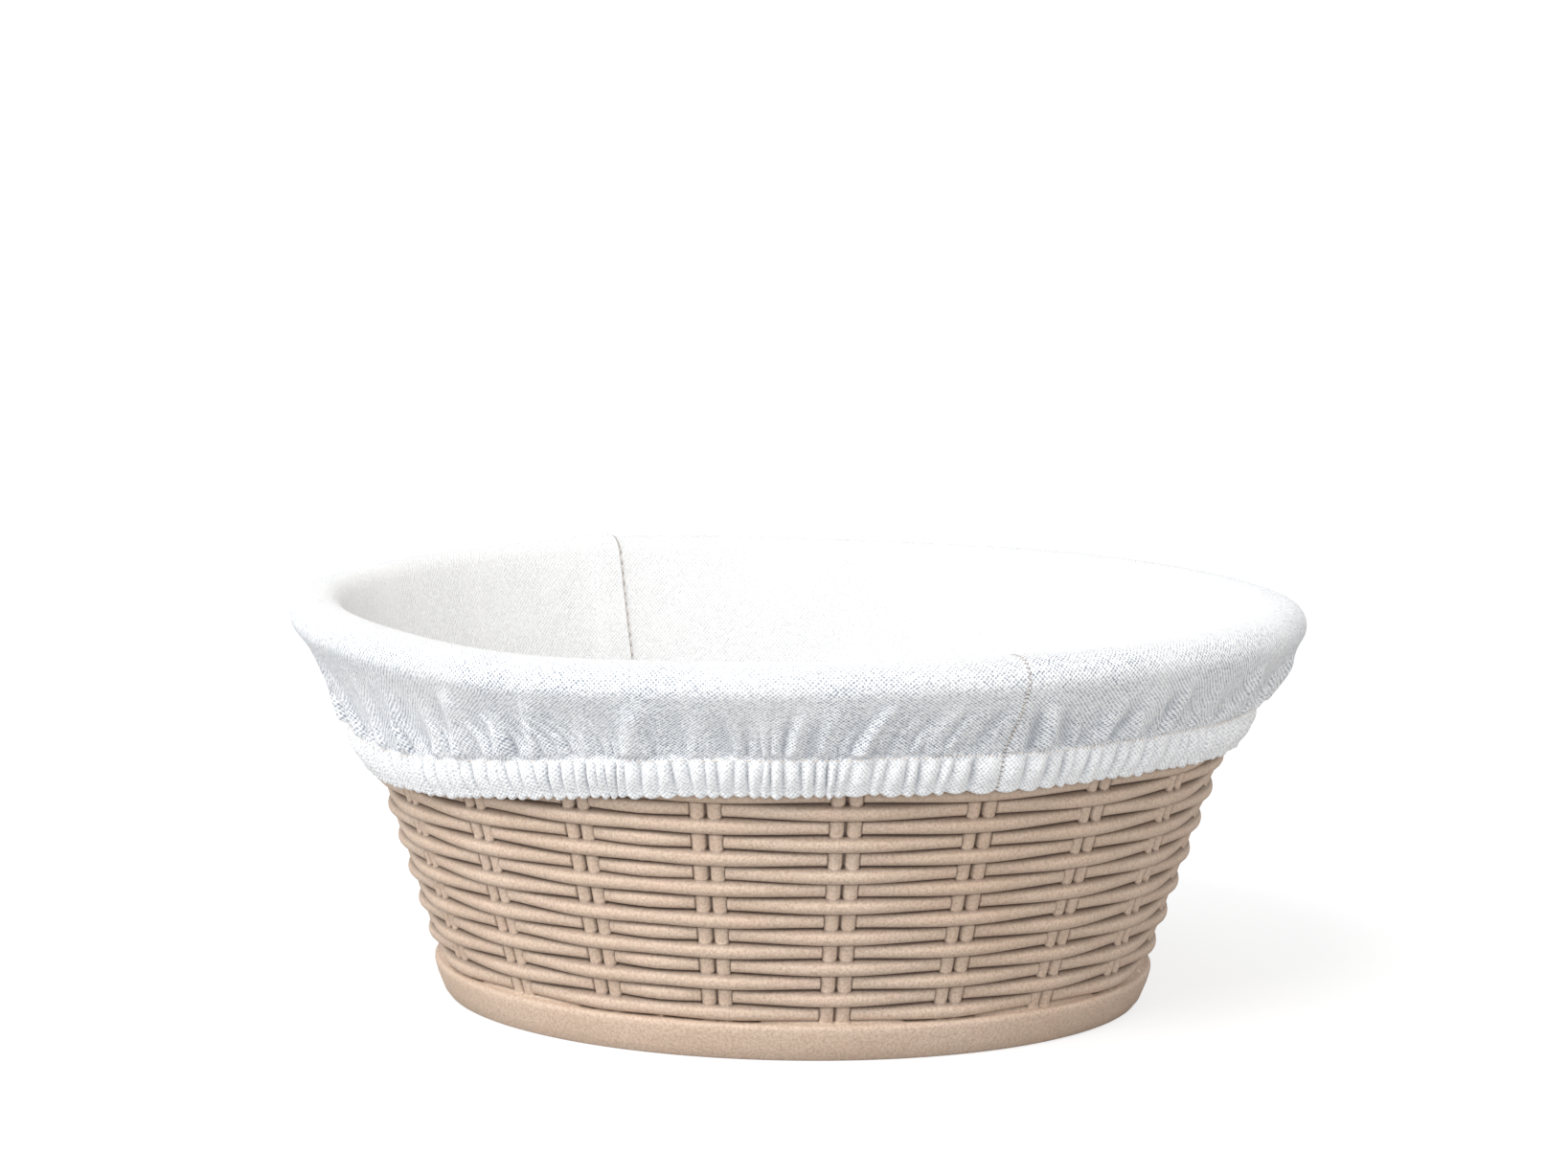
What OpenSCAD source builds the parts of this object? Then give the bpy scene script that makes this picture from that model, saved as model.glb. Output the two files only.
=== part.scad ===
// Round lined proofing basket (banneton) for bread dough, in millimetres.
// Origin: centre of the base ring, on the surface the basket stands on. +Z is up.
// The basket is one plastic moulding. The cloth liner is two side panels, a round
// bottom panel, a gathered skirt that hangs over the rim, and an elastic in its hem.
// Angles are counted about Z from -Y, the front, towards +X.

/* [Basket] */
// Radius of the base ring where it stands on the table
base_r = 75; // [60:1:90]
// Height of the moulding, from the table to the top of its rim
basket_h = 84.9; // [75:0.1:100]
// Outward run of the wall for each millimetre of height
wall_slope = 0.33; // [0.25:0.01:0.4]
// Thickness of the wall at the grooves between its woven rows
wall_t = 1.7; // [1.2:0.1:2]
// Thickness of the floor
floor_t = 2.5; // [2:0.1:4]
// Height of the floor's underside above the table
floor_lift = 2.5; // [1.5:0.1:4]

/* [Weave] */
// Radius of a woven row's round strand
row_r = 1.4; // [1.2:0.05:1.6]
// Vertical distance between the woven rows
row_pitch = 3.405; // [3.3:0.005:3.8]
// Height of the lowest woven row's centre
row_first_z = 10; // [9.5:0.1:12]
// Distance from the strand's centre line in to the foot of the wall's cone
wall_inset = 1.65; // [1:0.05:3]
// Distance between the raised rings in the floor
floor_ring_pitch = 6; // [5:0.5:10]

/* [Base band] */
// Height of the smooth band around the base
band_h = 7.9; // [6.5:0.1:8.2]
// How far the band's upper edge stands out past its foot
band_flare = 2.6; // [1.5:0.1:3.5]
// Radius of the band's rounded upper edge
band_round = 1.2; // [0.8:0.1:2]
// Thickness of the band's foot
foot_t = 3; // [2:0.1:4]

/* [Rim] */
// Radius of the rolled rim's round bead
bead_r = 3.1; // [2.8:0.1:4]
// Radius of the rim's inner lip
lip_r = 3.3; // [2.8:0.1:3.4]
// Distance from the lip's centre out to the bead's centre
bead_reach = 3; // [1:0.1:4]

/* [Liner] */
// Thickness of the cloth
cloth_t = 1; // [0.6:0.1:1.4]
// Clearance between the cloth and the moulding
cloth_gap = 0.35; // [0.3:0.05:0.6]
// Angle of the front seam between the two side panels
seam_angle = 25; // [0:1:60]
// Thickness of the thread that stands on a seam
thread_t = 0.3; // [0.2:0.05:0.5]
// Angle below the horizontal at which the skirt leaves the rim's bead
skirt_leave = 35; // [30:1:45]
// Height at which the skirt bends, halfway down
skirt_bend_z = 73; // [72:0.5:75]

/* [Hem] */
// Height of the casing that holds the elastic
casing_h = 8; // [7:0.1:10]
// Height of the hem's lower edge at the front right, where it is highest
hem_high_z = 59; // [56:0.5:61]
// How much lower the hem hangs on the opposite side
hem_drop = 9; // [0:0.5:10]
// Angle at which the hem is highest
hem_high_angle = 45; // [0:5:90]
// Thickness of the cloth where it is folded around the elastic
casing_t = 0.7; // [0.5:0.1:1]
// Width of the elastic band
elastic_w = 5; // [4:0.5:6]
// Thickness of the elastic band
elastic_t = 0.6; // [0.5:0.1:1]

/* [Hidden] */

$fn = 96;

beige = [0.75, 0.66, 0.58];
cotton = [0.95, 0.95, 0.94];
ecru = [0.88, 0.85, 0.78];
elastic_white = [0.86, 0.86, 0.84];

// The wall is a cone. slant turns a thickness into a horizontal distance.
slant = sqrt(1 + wall_slope * wall_slope);
wall_back = row_r + 0.1;
function wall_r(z) = base_r - wall_inset + wall_slope * z;
function inner_r(z) = wall_r(z) - wall_back * slant;
function outer_r(z) = wall_r(z) + row_r * slant;

// Rim: a round lip that carries on from the wall's inner face, and a bead outside it.
bead_z = basket_h - bead_r;
lip_z = basket_h - lip_r;
lip_x = inner_r(lip_z) + lip_r * slant;
bead_x = lip_x + bead_reach;
turn_z = lip_z + lip_r * wall_slope / slant;
touch = 0.05;
lap = 0.01;
row_count = floor((lip_z - lip_r - row_first_z) / row_pitch) + 1;

floor_top = floor_lift + floor_t;
floor_ring_r = 0.9;
floor_ring_count = floor((inner_r(floor_top) - 6) / floor_ring_pitch);
foot_round = 0.6;

// Liner: everything is the moulding's inner face, set in by the gap and the cloth.
liner_low = floor_top + floor_ring_r / 2 + cloth_gap;
liner_floor = liner_low + cloth_t;
function cloth_r(z, depth) = inner_r(z) - depth * slant;

// Hem: its lower edge is a slow wave, lowest opposite hem_high_angle.
function hem_z(a) = hem_high_z - hem_drop * (1 - cos(a - hem_high_angle)) / 2;
casing_w = 2 * casing_t + elastic_t + 2 * 0.15;
hem_gap = 0.5;
elastic_low = 2 * casing_t;

// Skirt: points on its inner face, from the bead's side down to the bend.
skirt_r = bead_r + cloth_gap + 0.25;
skirt_top = [bead_x + bead_r + cloth_gap, bead_z - touch];
skirt_turn = [bead_x + skirt_r * cos(skirt_leave), bead_z - skirt_r * sin(skirt_leave)];
skirt_bend_x = skirt_turn[0] - (skirt_turn[1] - skirt_bend_z) * tan(skirt_leave);

seam_turn = 0.35;
seam_lift = 0.15;
hem_thread_h = 0.5;
elastic_side = casing_t + 0.15;
sweep_step = 5;
half_turn = 180;

// ---- shared shapes --------------------------------------------------------

module at(x, z) {
    translate([x, z]) children();
}

// A ring or part of a ring from a profile, starting at an angle counted from the front.
module revolve(start = 0, angle = 360) {
    rotate([0, 0, start - 90]) rotate_extrude(angle = angle) children();
}

// The rim's profile, grown all round by a distance.
module rim_profile(grow = 0) {
    at(lip_x, lip_z) circle(r = lip_r + grow);
    at(bead_x, bead_z) circle(r = bead_r + grow);
    at(lip_x, bead_z) square([bead_reach, bead_r + grow]);
}

// The cloth's path from the floor, up the wall and over the rim to its widest point,
// as a layer between two distances from the moulding.
module cloth_profile(near, far) {
    polygon([
        [cloth_r(liner_low, far), liner_low],
        [cloth_r(liner_low, near), liner_low],
        [cloth_r(turn_z, near) + lap, turn_z],
        [cloth_r(turn_z, far), turn_z + lap]
    ]);
    difference() {
        rim_profile(far);
        rim_profile(near);
        square([lip_x, turn_z - lap]);
        at(lip_x - 1, 0) square([4 * bead_r, bead_z]);
    }
}

// A section [radius, height] at an angle counted from the front, as a point.
function spun(p, a) = [p[0] * sin(a), -p[0] * cos(a), p[1]];

// A strip or a closed ring swept from sections, one section of n points for each angle.
module sweep(sections, angles, closed = false) {
    n = len(sections[0]);
    m = len(angles);
    points = [for (i = [0:m - 1]) for (p = sections[i]) spun(p, angles[i])];
    last = closed ? m - 1 : m - 2;
    sides = [
        for (i = [0:last])
            for (j = [0:n - 1])
                for (side = [0:1])
                    let (a = i * n + j, b = i * n + (j + 1) % n)
                    let (c = ((i + 1) % m) * n + (j + 1) % n, d = ((i + 1) % m) * n + j)
                    side == 0 ? [a, b, c] : [a, c, d]
    ];
    ends = closed ? [] : [
        [for (j = [n - 1:-1:0]) j],
        [for (j = [0:n - 1]) (m - 1) * n + j]
    ];
    polyhedron(points = points, faces = concat(sides, ends), convexity = 6);
}

function arc_angles(start) = [for (a = [0:sweep_step:half_turn]) start + a];
function ring_angles() = [for (a = [0:sweep_step:360 - sweep_step]) a];

// The hem's inner face at an angle, a height above its lower edge.
function hem_r(a, up) = outer_r(hem_z(a) + up) + hem_gap;

// ---- basket ---------------------------------------------------------------

module band_profile() {
    band_x = base_r + band_flare - band_round;
    band_z = band_h - band_round;
    polygon([
        [base_r - foot_t, 0],
        [base_r - foot_round, 0],
        [base_r, foot_round],
        [base_r + band_flare, band_z],
        [band_x, band_z],
        [band_x, band_h],
        [wall_r(band_h), band_h],
        [wall_r(floor_lift), floor_lift],
        [base_r - foot_t, floor_lift]
    ]);
    at(band_x, band_z) circle(r = band_round);
}

module wall_profile() {
    polygon([
        [inner_r(floor_lift), floor_lift],
        [inner_r(floor_lift) + wall_t * slant, floor_lift],
        [inner_r(turn_z) + wall_t * slant, turn_z],
        [inner_r(turn_z), turn_z]
    ]);
    for (k = [0:row_count - 1]) {
        z = row_first_z + k * row_pitch;
        at(wall_r(z), z) circle(r = row_r);
    }
}

module floor_profile() {
    at(0, floor_lift) square([wall_r(floor_lift), floor_t]);
    for (k = [1:floor_ring_count]) {
        at(k * floor_ring_pitch, floor_top - floor_ring_r / 2) circle(r = floor_ring_r);
    }
}

module basket_shell() {
    color(beige) {
        revolve() {
            band_profile();
            floor_profile();
            wall_profile();
            rim_profile();
        }
    }
}

// ---- liner: the pouch -----------------------------------------------------

module bottom_panel() {
    edge_r = cloth_r(liner_low, cloth_gap + cloth_t) - touch;
    color(cotton) translate([0, 0, liner_low]) cylinder(h = cloth_t, r = edge_r);
}

module side_panel(start) {
    color(cotton) {
        revolve(start, half_turn) cloth_profile(cloth_gap, cloth_gap + cloth_t);
    }
}

module side_panel_left() {
    side_panel(seam_angle + half_turn);
}

module side_panel_right() {
    side_panel(seam_angle);
}

// ---- liner: the skirt and its hem -----------------------------------------

// The skirt's section at an angle: down its inner face, then up its outer one.
function skirt_section(a) =
    let (low = [hem_r(a, casing_h) + casing_w - cloth_t, hem_z(a) + casing_h])
    let (inner = [skirt_top, skirt_turn, [skirt_bend_x, skirt_bend_z], low])
    [
        for (p = inner) p,
        for (i = [3:-1:0]) inner[i] + [cloth_t, 0]
    ];

module skirt(start) {
    angles = arc_angles(start);
    color(cotton) sweep([for (a = angles) skirt_section(a)], angles);
}

module skirt_left() {
    skirt(seam_angle + half_turn);
}

module skirt_right() {
    skirt(seam_angle);
}

// The casing's section: the cloth turned up on itself, with a slot for the elastic.
function casing_section(a) =
    let (z = hem_z(a), fold = z + casing_t, top = z + casing_h - touch)
    [
        [hem_r(a, 0), z],
        [hem_r(a, casing_h), top],
        [hem_r(a, casing_h) + casing_t, top],
        [hem_r(a, casing_t) + casing_t, fold],
        [hem_r(a, casing_t) + casing_w - casing_t, fold],
        [hem_r(a, casing_h) + casing_w - casing_t, top],
        [hem_r(a, casing_h) + casing_w, top],
        [hem_r(a, 0) + casing_w, z]
    ];

module hem_casing(start) {
    angles = arc_angles(start);
    color(cotton) sweep([for (a = angles) casing_section(a)], angles);
}

module hem_casing_left() {
    hem_casing(seam_angle + half_turn);
}

module hem_casing_right() {
    hem_casing(seam_angle);
}

function elastic_section(a) =
    let (low = [hem_r(a, elastic_low) + elastic_side, hem_z(a) + elastic_low])
    let (high = low + [elastic_w * wall_slope, elastic_w])
    [low, high, high + [elastic_t, 0], low + [elastic_t, 0]];

module elastic_band() {
    angles = ring_angles();
    color(elastic_white) sweep([for (a = angles) elastic_section(a)], angles, closed = true);
}

// ---- liner: the threads ---------------------------------------------------

module bottom_seam_thread() {
    ring_r = cloth_r(liner_floor, cloth_gap + cloth_t) - thread_t - seam_lift;
    color(ecru) revolve() at(ring_r, liner_floor + thread_t + touch) circle(r = thread_t);
}

// A thread on the pouch's seam, from the floor to the rim's widest point.
module pouch_seam(angle) {
    inner = cloth_gap + cloth_t + touch;
    low = liner_floor + 3 * thread_t;
    color(ecru) {
        intersection() {
            revolve(angle - seam_turn / 2, seam_turn) cloth_profile(inner, inner + thread_t);
            translate([0, 0, low]) cylinder(h = basket_h, r = 2 * base_r);
        }
    }
}

module front_seam_thread() {
    pouch_seam(seam_angle);
}

module back_seam_thread() {
    pouch_seam(seam_angle + half_turn);
}

// The same thread where it runs on down the skirt, from just under the bead.
module skirt_thread(angle) {
    s = skirt_section(angle);
    near = [cloth_t + seam_lift, 0];
    far = near + [thread_t, 0];
    start = (s[0] + s[1]) / 2;
    end = s[3] + (s[2] - s[3]) / 8;
    color(ecru) {
        revolve(angle - seam_turn / 2, seam_turn) {
            polygon([
                start + near,
                s[1] + near,
                s[2] + near,
                end + near,
                end + far,
                s[2] + far,
                s[1] + far,
                start + far
            ]);
        }
    }
}

module front_skirt_thread() {
    skirt_thread(seam_angle);
}

module back_skirt_thread() {
    skirt_thread(seam_angle + half_turn);
}

function hem_thread_section(a) =
    let (r = hem_r(a, casing_h) + casing_w + touch, z = hem_z(a) + casing_h - 2 * touch)
    [
        [r, z - hem_thread_h],
        [r, z],
        [r + thread_t, z],
        [r + thread_t, z - hem_thread_h]
    ];

module hem_thread() {
    angles = ring_angles();
    color(ecru) sweep([for (a = angles) hem_thread_section(a)], angles, closed = true);
}

basket_shell();
bottom_panel();
side_panel_left();
side_panel_right();
skirt_left();
skirt_right();
hem_casing_left();
hem_casing_right();
elastic_band();
bottom_seam_thread();
front_seam_thread();
back_seam_thread();
front_skirt_thread();
back_skirt_thread();
hem_thread();
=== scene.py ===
"""Round proofing basket of woven-look plastic with a cotton liner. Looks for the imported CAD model.

Angles are in degrees about Z from -Y, the front, towards +X. Lengths are millimetres until the
meshes are made, which are in metres like the frame.
"""

import math

import bpy
import numpy as np
from mathutils import Matrix, Vector


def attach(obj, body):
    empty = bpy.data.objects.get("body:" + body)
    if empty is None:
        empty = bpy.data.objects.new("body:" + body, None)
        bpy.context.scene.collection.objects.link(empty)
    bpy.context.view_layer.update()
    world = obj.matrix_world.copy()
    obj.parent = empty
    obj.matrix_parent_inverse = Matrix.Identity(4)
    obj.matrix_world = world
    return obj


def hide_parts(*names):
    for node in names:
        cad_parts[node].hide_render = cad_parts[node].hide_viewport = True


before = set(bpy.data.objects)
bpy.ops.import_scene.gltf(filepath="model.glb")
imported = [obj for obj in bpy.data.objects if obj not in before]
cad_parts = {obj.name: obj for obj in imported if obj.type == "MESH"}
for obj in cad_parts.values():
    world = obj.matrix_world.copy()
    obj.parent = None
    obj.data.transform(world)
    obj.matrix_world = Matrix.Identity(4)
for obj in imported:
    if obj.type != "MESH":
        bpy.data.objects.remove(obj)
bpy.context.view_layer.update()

MM = 0.001

# ---- camera ---------------------------------------------------------------
CAMERA_AT = (0.0, -1.21441, 0.25135)
CAMERA_YAW, CAMERA_PITCH, CAMERA_ROLL = -0.00255, 0.13405, 0.01469
CAMERA_LENS = 130.46


def make_camera():
    data = bpy.data.cameras.new("camera")
    data.lens, data.sensor_width = CAMERA_LENS, 36.0
    data.clip_start, data.clip_end = 0.05, 50.0
    cam = bpy.data.objects.new("camera", data)
    bpy.context.scene.collection.objects.link(cam)
    cy, sy = math.cos(CAMERA_YAW), math.sin(CAMERA_YAW)
    cp, sp = math.cos(CAMERA_PITCH), math.sin(CAMERA_PITCH)
    forward = Vector((sy * cp, cy * cp, -sp))
    level = Vector((cy, -sy, 0.0))
    upright = level.cross(forward)
    cr, sr = math.cos(CAMERA_ROLL), math.sin(CAMERA_ROLL)
    right = level * cr + upright * sr
    up = upright * cr - level * sr
    cam.matrix_world = Matrix((
        (right.x, up.x, -forward.x, CAMERA_AT[0]),
        (right.y, up.y, -forward.y, CAMERA_AT[1]),
        (right.z, up.z, -forward.z, CAMERA_AT[2]),
        (0, 0, 0, 1),
    ))
    bpy.context.scene.camera = cam


make_camera()

# ---- the basket's measures ------------------------------------------------
SLOPE = 0.33                      # the wall's run for each millimetre of height
SLANT = math.hypot(1, SLOPE)
CONE_R = 73.35                    # radius of the weave's middle cone at the table
CONE_TOP = 76.0                   # height where the columns stop spreading with the cone
INSIDE_R = CONE_R - 1.5 * SLANT   # the wall's smooth inner face at the table
WEAVE_OUT = 1.4                   # the weave's outermost face, out from its middle cone
FLOOR_R, FLOOR_LOW, FLOOR_TOP = 72.0, 2.5, 5.0
RING_PITCH, RINGS, RING_H = 6.0, 11, 0.45
ROW_0, PITCH, ROWS = 10.0, 3.405, 20
WEAVE_TOP = ROW_0 + ROWS * PITCH - PITCH / 2
PAIRS = 20
SECTOR = 360 / PAIRS
PAIR_0 = 6.55 - 4 * SECTOR        # the angle of stake pair 0
PARTING_AFTER = (2, 12)           # the mould's parting lines run after these pairs
PARTING_H = 0.1
STAKE_R, STAKE_TOP, SLIT = 1.6, 0.3, 0.08
STRAND_HIGH, STRAND_LOW = 1.35, 0.2
STRAND_WIDE, STRAND_THIN = 1.86, 1.42
STRAND_EDGE, GROOVE = -0.7, -1.0
END_GAP = 0.12                    # from a stake to the first column beside it
LIP_R, LIP_Z, LIP_ROUND = 102.2, 81.6, 3.3      # the rim's inner lip, about its curve's middle
LIP_TURN = 161.7                  # angle at which the lip's curve meets the wall
BEAD_R, BEAD_Z, BEAD_ROUND = 105.2, 81.75, 3.1  # the rim's outer bead
WAVE_FROM, WAVE_OVER = 68, 12     # the rim's wave grows from this height, over this much
CLOTH = 0.6                       # thickness of the cloth
OFF = 1.1                         # from the moulding to the cloth's outer face
SEAM_PITCH = 1.1                  # of the stitches across a side seam
FAR = 9.0                         # too far off to shape the weave


def smooth_step(x):
    x = np.clip(x, 0, 1)
    return x * x * (3 - 2 * x)


def soft_max(a, b):
    """The larger of two numbers, with a rounded corner where they cross."""
    k = 0.1
    return 0.5 * (a + b + np.sqrt((a - b) ** 2 + k * k))


def around(keys, blur):
    """A smooth function of the angle through (angle, value) pairs that cover a full turn."""
    step = 0.5
    grid = np.arange(-180, 180, step)
    values = np.interp(grid, [k[0] for k in keys], [k[1] for k in keys], period=360)
    reach = np.arange(-int(3 * blur / step), int(3 * blur / step) + 1)
    weight = np.exp(-0.5 * (reach * step / blur) ** 2)
    out = sum(w * np.roll(values, int(-r)) for w, r in zip(weight, reach)) / weight.sum()
    return lambda a: np.interp((np.asarray(a) + 180) % 360 - 180, grid, out, period=360)


def waves(seed, count, low, high):
    """A smooth random function of the angle, about 1 high, made of whole waves per turn."""
    rng = np.random.default_rng(seed)
    n = rng.integers(low, high, count)
    phase = rng.uniform(0, 2 * math.pi, count)
    size = rng.normal(0, 1, count) / math.sqrt(count / 2)

    def value(angle):
        a = np.radians(np.asarray(angle, float))[..., None]
        return (size * np.sin(n * a + phase)).sum(-1)

    return value


# How much higher or lower than a flat ring the rim lies.
rim_wave = around([
    (-92, 0.6), (-56, 0.0), (-42, -1.1), (-28, -1.1), (-15, 0.1), (0, 0.7), (18, 1.2),
    (45, 1.5), (67, 1.4), (90, 0.5), (110, -0.3), (146, -0.4), (166, -0.9), (185, -0.4),
    (200, 0.2), (208, 0.5), (218, -0.1), (240, -0.6), (256, -0.4),
], 5)


def spin(angle, r, z):
    """Points in metres from an angle, a radius and a height. The rim's wave is added near the top."""
    a = np.radians(angle)
    z = z + rim_wave(angle) * smooth_step((z - WAVE_FROM) / WAVE_OVER)
    return np.stack(np.broadcast_arrays(r * np.sin(a), -r * np.cos(a), z), -1) * MM


def strip_faces(rows, closed):
    """Faces between rows of vertex numbers. A row may have a whole number of times as many as the next."""
    quads, tris = [], []
    for a, b in zip(rows, rows[1:]):
        if closed:
            a, b = np.append(a, a[0]), np.append(b, b[0])
        if len(a) == len(b):
            quads.append(np.stack([a[:-1], a[1:], b[1:], b[:-1]], 1))
            continue
        flip = len(a) < len(b)
        fine, coarse = (b, a) if flip else (a, b)
        q = (len(fine) - 1) // (len(coarse) - 1)
        for i in range(q):
            top = coarse[:-1] if i < q // 2 else coarse[1:]
            tri = np.stack([fine[i:-1:q], fine[i + 1::q], top], 1)
            tris.append(tri[:, ::-1] if flip else tri)
        mid = np.stack([coarse[:-1], fine[q // 2:-1:q], coarse[1:]], 1)
        tris.append(mid[:, ::-1] if flip else mid)
    return quads, tris


class Mesh:
    """Collects one piece's points and faces. Each point also has three marks for its material, and how
    hollow the surface is there, which the materials paint darker as shade."""

    def __init__(self):
        self.points, self.marks, self.hollow = [], [], []
        self.quads, self.tris, self.count = [], [], 0

    def add(self, points, marks=0.0, hollow=0.0):
        points = np.asarray(points, float).reshape(-1, 3)
        numbers = np.arange(self.count, self.count + len(points))
        self.points.append(points)
        self.marks.append(np.broadcast_to(marks, points.shape))
        self.hollow.append(np.broadcast_to(hollow, len(points)))
        self.count += len(points)
        return numbers

    def strip(self, rows, closed=False, flip=False):
        quads, tris = strip_faces(rows, closed)
        self.quads += [q[:, ::-1] if flip else q for q in quads]
        self.tris += [t[:, ::-1] if flip else t for t in tris]

    def fan(self, row, centre, flip=False):
        tri = np.stack([row, np.roll(row, -1), np.full(len(row), centre)], 1)
        self.tris.append(tri[:, ::-1] if flip else tri)

    def build(self, name, material, body, slot, replaces, crisp=None):
        me = bpy.data.meshes.new(name)
        co = np.concatenate(self.points)
        quads = np.concatenate(self.quads) if self.quads else np.zeros((0, 4), int)
        tris = np.concatenate(self.tris) if self.tris else np.zeros((0, 3), int)
        me.vertices.add(len(co))
        me.vertices.foreach_set("co", co.astype(np.float32).ravel())
        loops = np.concatenate([quads.ravel(), tris.ravel()])
        me.loops.add(len(loops))
        me.loops.foreach_set("vertex_index", loops.astype(np.int32))
        starts = np.concatenate([
            np.arange(len(quads)) * 4, len(quads) * 4 + np.arange(len(tris)) * 3,
        ])
        me.polygons.add(len(starts))
        me.polygons.foreach_set("loop_start", starts.astype(np.int32))
        me.update(calc_edges=True)
        me.shade_smooth()
        if crisp:
            me.set_sharp_from_angle(angle=math.radians(crisp))
        attribute = me.attributes.new("marks", "FLOAT_VECTOR", "POINT")
        attribute.data.foreach_set("vector", np.concatenate(self.marks).astype(np.float32).ravel())
        attribute = me.attributes.new("hollow", "FLOAT", "POINT")
        attribute.data.foreach_set("value", np.concatenate(self.hollow).astype(np.float32))
        me.materials.append(material)
        obj = bpy.data.objects.new(name, me)
        bpy.context.scene.collection.objects.link(obj)
        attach(obj, body)
        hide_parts(*replaces)
        return obj


# ---- materials ------------------------------------------------------------

class Nodes:
    """A short way to wire a material."""

    def __init__(self, name):
        self.material = bpy.data.materials.new(name)
        self.material.use_nodes = True
        self.tree = self.material.node_tree
        self.shader = self.tree.nodes["Principled BSDF"]

    def put(self, sockets, key, value):
        if isinstance(value, bpy.types.NodeSocket):
            self.tree.links.new(value, sockets[key])
        else:
            sockets[key].default_value = value

    def node(self, kind, inputs=None, out=0, **settings):
        node = self.tree.nodes.new(kind)
        for key, value in settings.items():
            setattr(node, key, value)
        for key, value in (inputs or {}).items():
            self.put(node.inputs, key, value)
        return node.outputs[out]

    def place(self):
        """The place on the object, in metres."""
        return self.node("ShaderNodeTexCoord", out=3)

    def marks(self):
        """The three numbers that the mesh carries for its material."""
        split = self.tree.nodes.new("ShaderNodeSeparateXYZ")
        mark = self.node("ShaderNodeAttribute", out=1, attribute_name="marks")
        self.tree.links.new(mark, split.inputs[0])
        return split.outputs

    def hollow(self):
        """How far the mesh lies below the surface around it, which the materials paint darker as shade."""
        return self.node("ShaderNodeAttribute", out=2, attribute_name="hollow")

    def math(self, operation, *values):
        return self.node("ShaderNodeMath", dict(enumerate(values)), operation=operation)

    def noise(self, at, scale, detail=2.0, rough=0.5):
        return self.node("ShaderNodeTexNoise", {
            "Vector": at, "Scale": scale, "Detail": detail, "Roughness": rough,
        })

    def span(self, value, low, high, to_low=0.0, to_high=1.0):
        return self.node("ShaderNodeMapRange", {0: value, 1: low, 2: high, 3: to_low, 4: to_high})

    def mix(self, share, a, b):
        return self.node("ShaderNodeMix", {0: share, 6: a, 7: b}, out=2, data_type="RGBA")

    def bump(self, height, distance, strength, normal=None):
        inputs = {"Height": height, "Distance": distance, "Strength": strength}
        if normal is not None:
            inputs["Normal"] = normal
        return self.node("ShaderNodeBump", inputs)

    def surface(self, **sockets):
        for key, value in sockets.items():
            self.put(self.shader.inputs, key.replace("_", " "), value)
        return self.material


def srgb(r, g, b):
    """A linear colour from 0-255 display values."""
    c = np.array([r, g, b]) / 255
    c = np.where(c <= 0.04045, c / 12.92, ((c + 0.055) / 1.055) ** 2.4)
    return (*c.tolist(), 1.0)


def plastic():
    """Matte plastic that is darker in the grooves, as painted shade."""
    n = Nodes("beige_plastic")
    at = n.place()
    hollow = n.span(n.hollow(), 0.12, 0.65, 0.0, 0.9)
    cloud = n.noise(at, 38.0, 3.0)
    fleck = n.noise(at, 1700.0, 3.0, 0.8)
    warm = n.noise(at, 120.0, 2.0)
    colour = n.mix(n.span(cloud, 0.35, 0.65), srgb(203, 180, 160), srgb(209, 188, 170))
    colour = n.mix(n.span(warm, 0.52, 0.72, 0, 0.35), colour, srgb(215, 183, 166))
    colour = n.mix(n.span(fleck, 0.4, 0.66, 0.0, 0.75), colour, srgb(166, 142, 122))
    # Painted shade: the colour turns dark brown where the surface lies below the points around it, in the
    # grooves between strands and beside the stakes.
    colour = n.mix(hollow, colour, srgb(54, 37, 28))
    rough = n.span(n.noise(at, 260.0, 3.0), 0.3, 0.7, 0.5, 0.66)
    grain = n.noise(at, 2600.0, 2.0, 0.6)
    swell = n.noise(at, 420.0, 2.0)
    normal = n.bump(grain, 0.00012, 0.55, n.bump(swell, 0.0003, 0.35))
    return n.surface(Base_Color=colour, Roughness=rough, Normal=normal, Specular_IOR_Level=0.35)


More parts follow.
